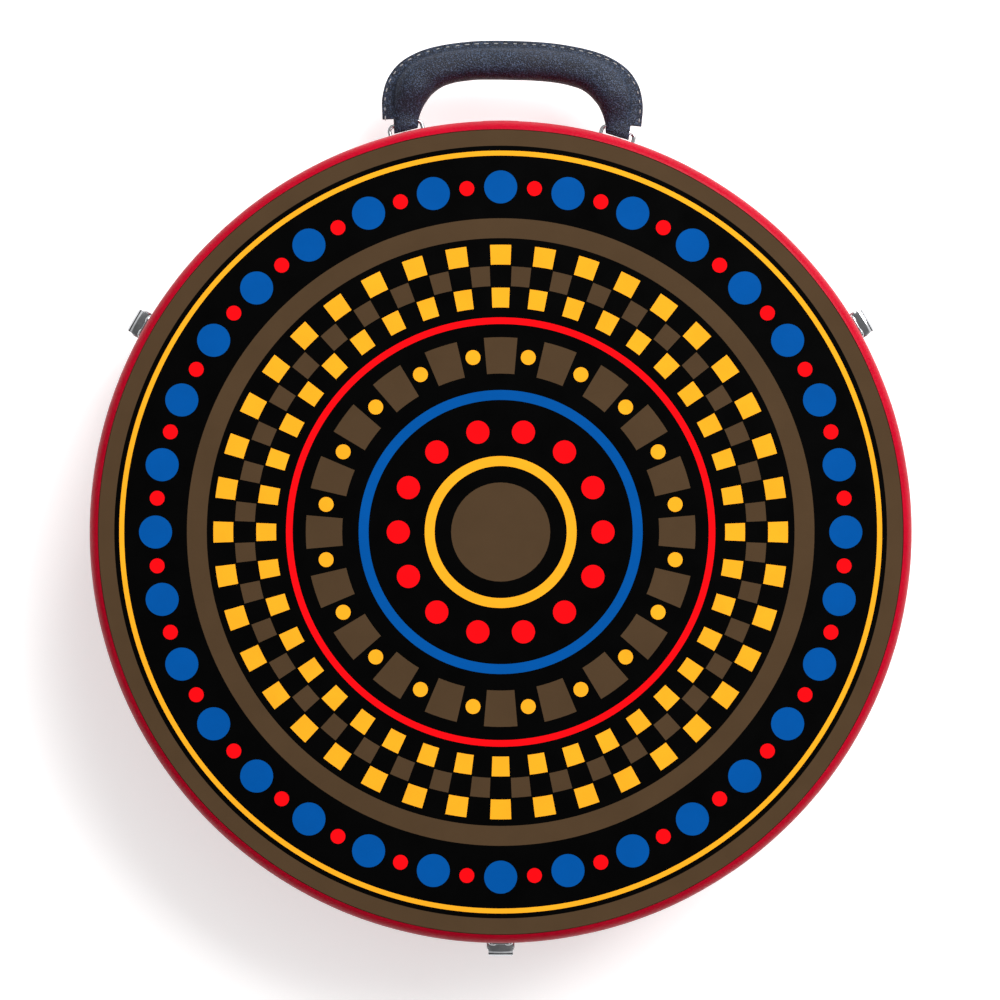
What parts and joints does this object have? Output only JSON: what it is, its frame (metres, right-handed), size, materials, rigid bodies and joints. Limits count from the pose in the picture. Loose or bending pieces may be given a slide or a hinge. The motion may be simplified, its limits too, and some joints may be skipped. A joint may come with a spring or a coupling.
{
  "type": "round hand drum case",
  "caption": "Round hard case for a hand drum: deep base, lift-off lid with a printed medallion face, draw latches on the wall and a padded carrying handle on rings.",
  "frame": {"origin": "on the round case's own axis, in the plane of its back, which it lies on", "axes": "+Z out of the lid's printed face, +Y towards the carrying handle, +X to the right seen from the face"},
  "size_m": [0.5, 0.572, 0.112],
  "materials": {
    "red_vinyl": "glossy pebbled vinyl covering cloth",
    "printed_face": "satin printed vinyl disc",
    "plywood": "bare thin plywood",
    "plush": "short black plush over foam",
    "handle_leather": "grained leather, sewn with pale thread",
    "core_steel": "bare strip",
    "pin_steel": "plated pin",
    "chrome": "bright plated steel"
  },
  "bodies": {
    "base": {"back_cover": "red_vinyl", "base_cover": "red_vinyl", "base_hoop": "plywood", "base_panel": "plywood", "floor_pad": "plush", "side_padding": "plush", "locating_lip": "plush", "latch_1_plate": "chrome", "latch_1_lever_pin": "pin_steel", "latch_1_plate_rivet_1": "chrome", "latch_1_plate_rivet_2": "chrome", "latch_2_plate": "chrome", "latch_2_lever_pin": "pin_steel", "latch_2_plate_rivet_1": "chrome", "latch_2_plate_rivet_2": "chrome", "latch_3_plate": "chrome", "latch_3_lever_pin": "pin_steel", "latch_3_plate_rivet_1": "chrome", "latch_3_plate_rivet_2": "chrome", "handle_bracket_left": "chrome", "bracket_left_rivet_1": "chrome", "bracket_left_rivet_2": "chrome", "handle_bracket_right": "chrome", "bracket_right_rivet_1": "chrome", "bracket_right_rivet_2": "chrome"},
    "lid": {"lid_cover": "red_vinyl", "face_print": "printed_face", "lid_panel": "plywood", "lid_hoop": "plywood", "lid_pad": "plush", "lid_lining": "plush", "latch_1_keeper": "chrome", "latch_1_keeper_rivet_1": "chrome", "latch_1_keeper_rivet_2": "chrome", "latch_2_keeper": "chrome", "latch_2_keeper_rivet_1": "chrome", "latch_2_keeper_rivet_2": "chrome", "latch_3_keeper": "chrome", "latch_3_keeper_rivet_1": "chrome", "latch_3_keeper_rivet_2": "chrome"},
    "handle": {"handle_cover": "handle_leather", "handle_core": "core_steel", "handle_ring_left": "chrome", "handle_ring_right": "chrome"},
    "latch_1_lever": {"latch_1_lever": "chrome", "latch_1_hook_pin": "pin_steel"},
    "latch_1_hook": {"latch_1_hook": "chrome"},
    "latch_2_lever": {"latch_2_lever": "chrome", "latch_2_hook_pin": "pin_steel"},
    "latch_2_hook": {"latch_2_hook": "chrome"},
    "latch_3_lever": {"latch_3_lever": "chrome", "latch_3_hook_pin": "pin_steel"},
    "latch_3_hook": {"latch_3_hook": "chrome"}
  },
  "joints": [
    {"name": "lid_lift", "type": "slide", "parent": "base", "child": "lid", "axis": [0, 0, 1], "range_m": [0, 0.14]},
    {"name": "latch_1_throw", "type": "hinge", "parent": "base", "child": "latch_1_lever", "pos_m": [0.22188, 0.1281, 0.07], "axis": [0.5, -0.866, 0], "range_deg": [0, 90]},
    {"name": "latch_1_hook_swing", "type": "hinge", "parent": "latch_1_lever", "child": "latch_1_hook", "pos_m": [0.22153, 0.1279, 0.062], "axis": [0.5, -0.866, 0], "range_deg": [-120, 0]},
    {"name": "latch_2_throw", "type": "hinge", "parent": "base", "child": "latch_2_lever", "pos_m": [-0.22188, 0.1281, 0.07], "axis": [0.5, 0.866, 0], "range_deg": [0, 90]},
    {"name": "latch_2_hook_swing", "type": "hinge", "parent": "latch_2_lever", "child": "latch_2_hook", "pos_m": [-0.22153, 0.1279, 0.062], "axis": [0.5, 0.866, 0], "range_deg": [-120, 0]},
    {"name": "latch_3_throw", "type": "hinge", "parent": "base", "child": "latch_3_lever", "pos_m": [0, -0.2562, 0.07], "axis": [-1, 0, 0], "range_deg": [0, 90]},
    {"name": "latch_3_hook_swing", "type": "hinge", "parent": "latch_3_lever", "child": "latch_3_hook", "pos_m": [0, -0.2558, 0.062], "axis": [-1, 0, 0], "range_deg": [-120, 0]},
    {"name": "handle_swing", "type": "hinge", "parent": "base", "child": "handle", "pos_m": [0.00686, 0.24544, 0.04], "axis": [0.9996, -0.0279, 0], "range_deg": [-65, 65]}
  ],
  "couplings": [
    {"joint": "latch_1_hook_swing", "follows": "latch_1_throw", "ratio": -1.3333},
    {"joint": "latch_2_hook_swing", "follows": "latch_2_throw", "ratio": -1.3333},
    {"joint": "latch_3_hook_swing", "follows": "latch_3_throw", "ratio": -1.3333}
  ]
}
